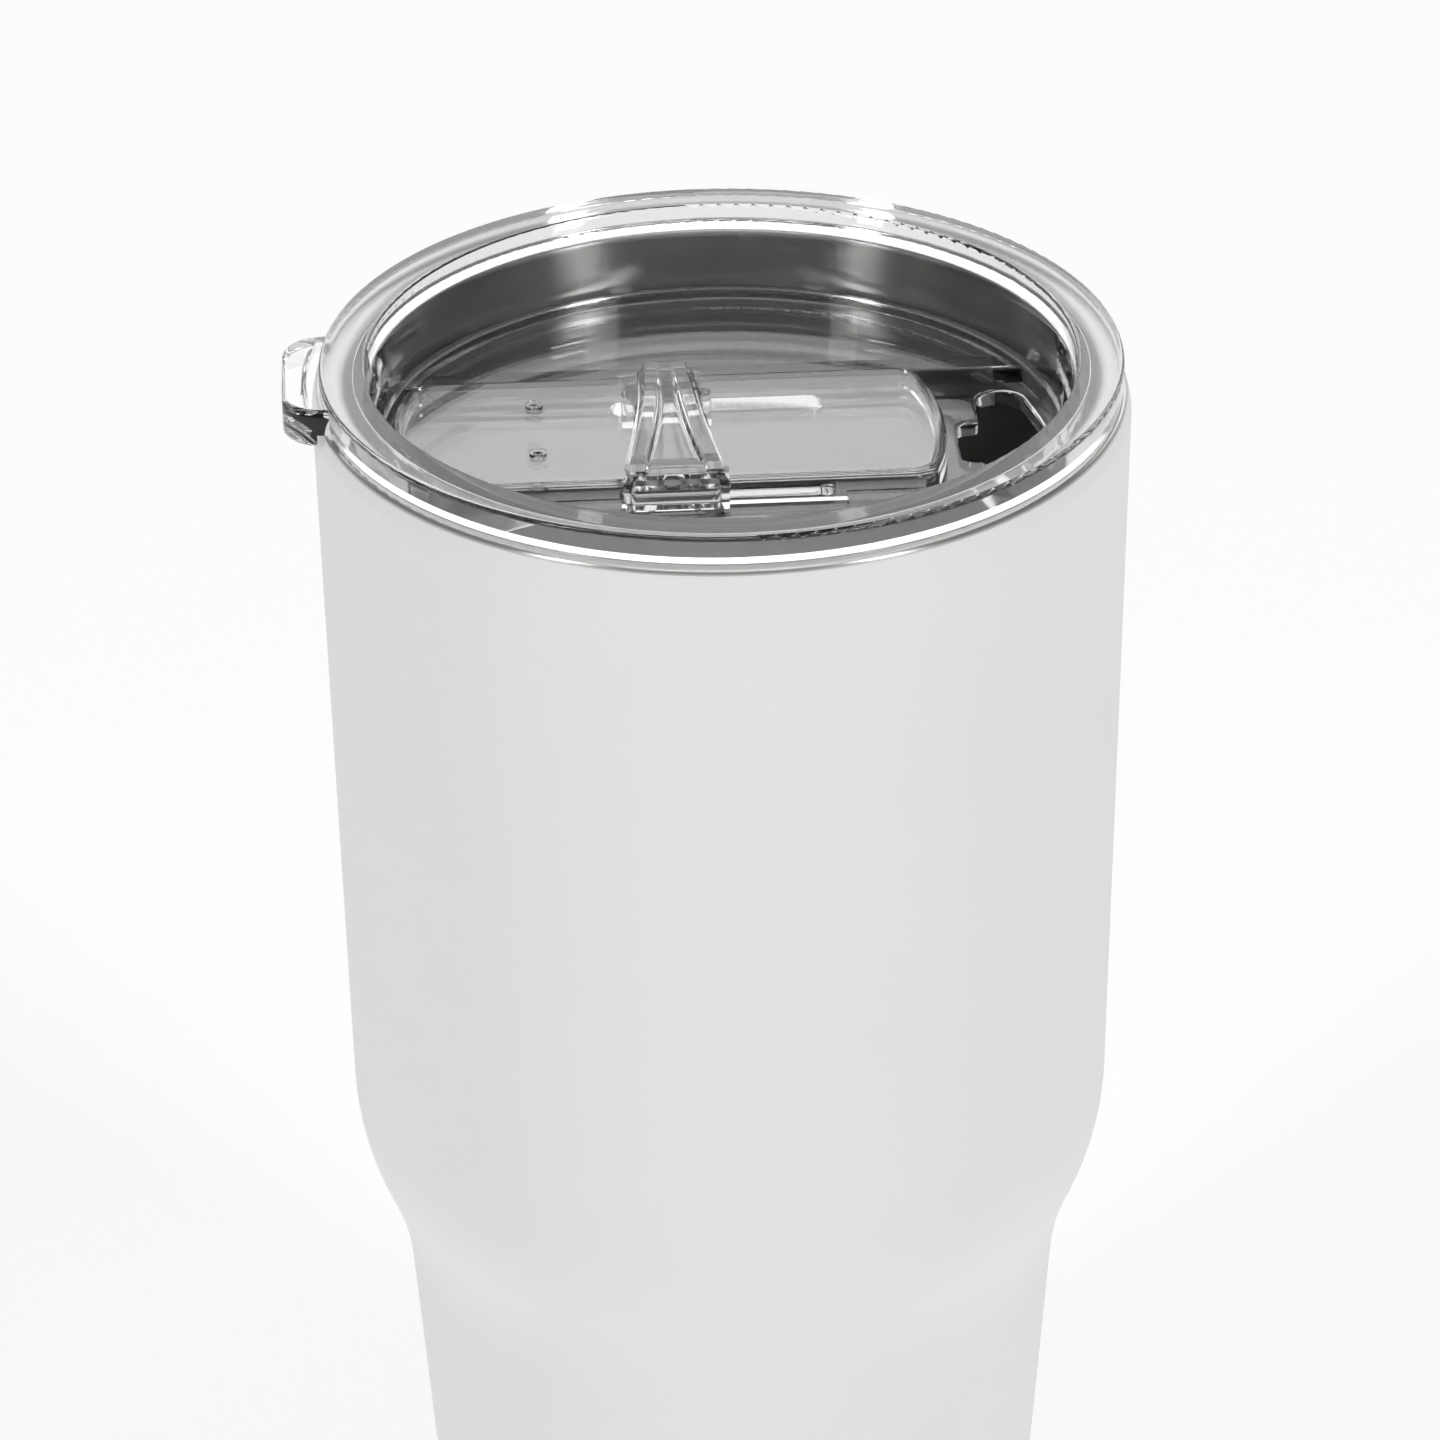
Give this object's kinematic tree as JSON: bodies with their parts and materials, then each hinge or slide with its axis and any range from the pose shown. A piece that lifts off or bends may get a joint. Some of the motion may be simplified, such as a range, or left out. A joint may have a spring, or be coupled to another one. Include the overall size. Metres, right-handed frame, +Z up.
{
  "type": "insulated tumbler with lid",
  "caption": "Tall vacuum-walled steel tumbler with a stepped, tapered body and a clear press-in lid with a sliding drink closure.",
  "frame": {"origin": "centre of the base on the plane that the cup stands on", "axes": "+Z up along the cup's axis, +X along the slider towards the drink opening"},
  "size_m": [0.1044, 0.1008, 0.2041],
  "materials": {
    "powder_coat": "fine matt powder coat, white",
    "brushed_steel": "brushed and electropolished stainless steel",
    "bare_steel": "pickled stainless steel",
    "glass_solder": "fused glass solder",
    "getter_alloy": "sintered zirconium alloy",
    "copper_foil": "soft copper foil",
    "clear_plastic": "clear polished copolyester",
    "silicone": "translucent silicone"
  },
  "bodies": {
    "cup": {"outer_shell": "powder_coat", "outer_base": "bare_steel", "base_cover": "brushed_steel", "vacuum_port_seal": "glass_solder", "getter": "getter_alloy", "getter_clip": "bare_steel", "inner_liner": "brushed_steel", "inner_bottom": "brushed_steel", "liner_foil": "copper_foil"},
    "gasket": {"lid_gasket": "silicone"},
    "lid": {"lid_body": "clear_plastic"},
    "slider": {"slider": "clear_plastic"}
  },
  "joints": [
    {"name": "lid_lift", "type": "slide", "parent": "cup", "child": "gasket", "axis": [0, 0, 1], "range_m": [0, 0.06]},
    {"name": "lid_turn", "type": "hinge", "parent": "gasket", "child": "lid", "pos_m": [0, 0, 0.2], "axis": [0, 0, 1], "continuous": true},
    {"name": "slider_slide", "type": "slide", "parent": "lid", "child": "slider", "axis": [1, 0, 0], "range_m": [0, 0.0135]}
  ]
}
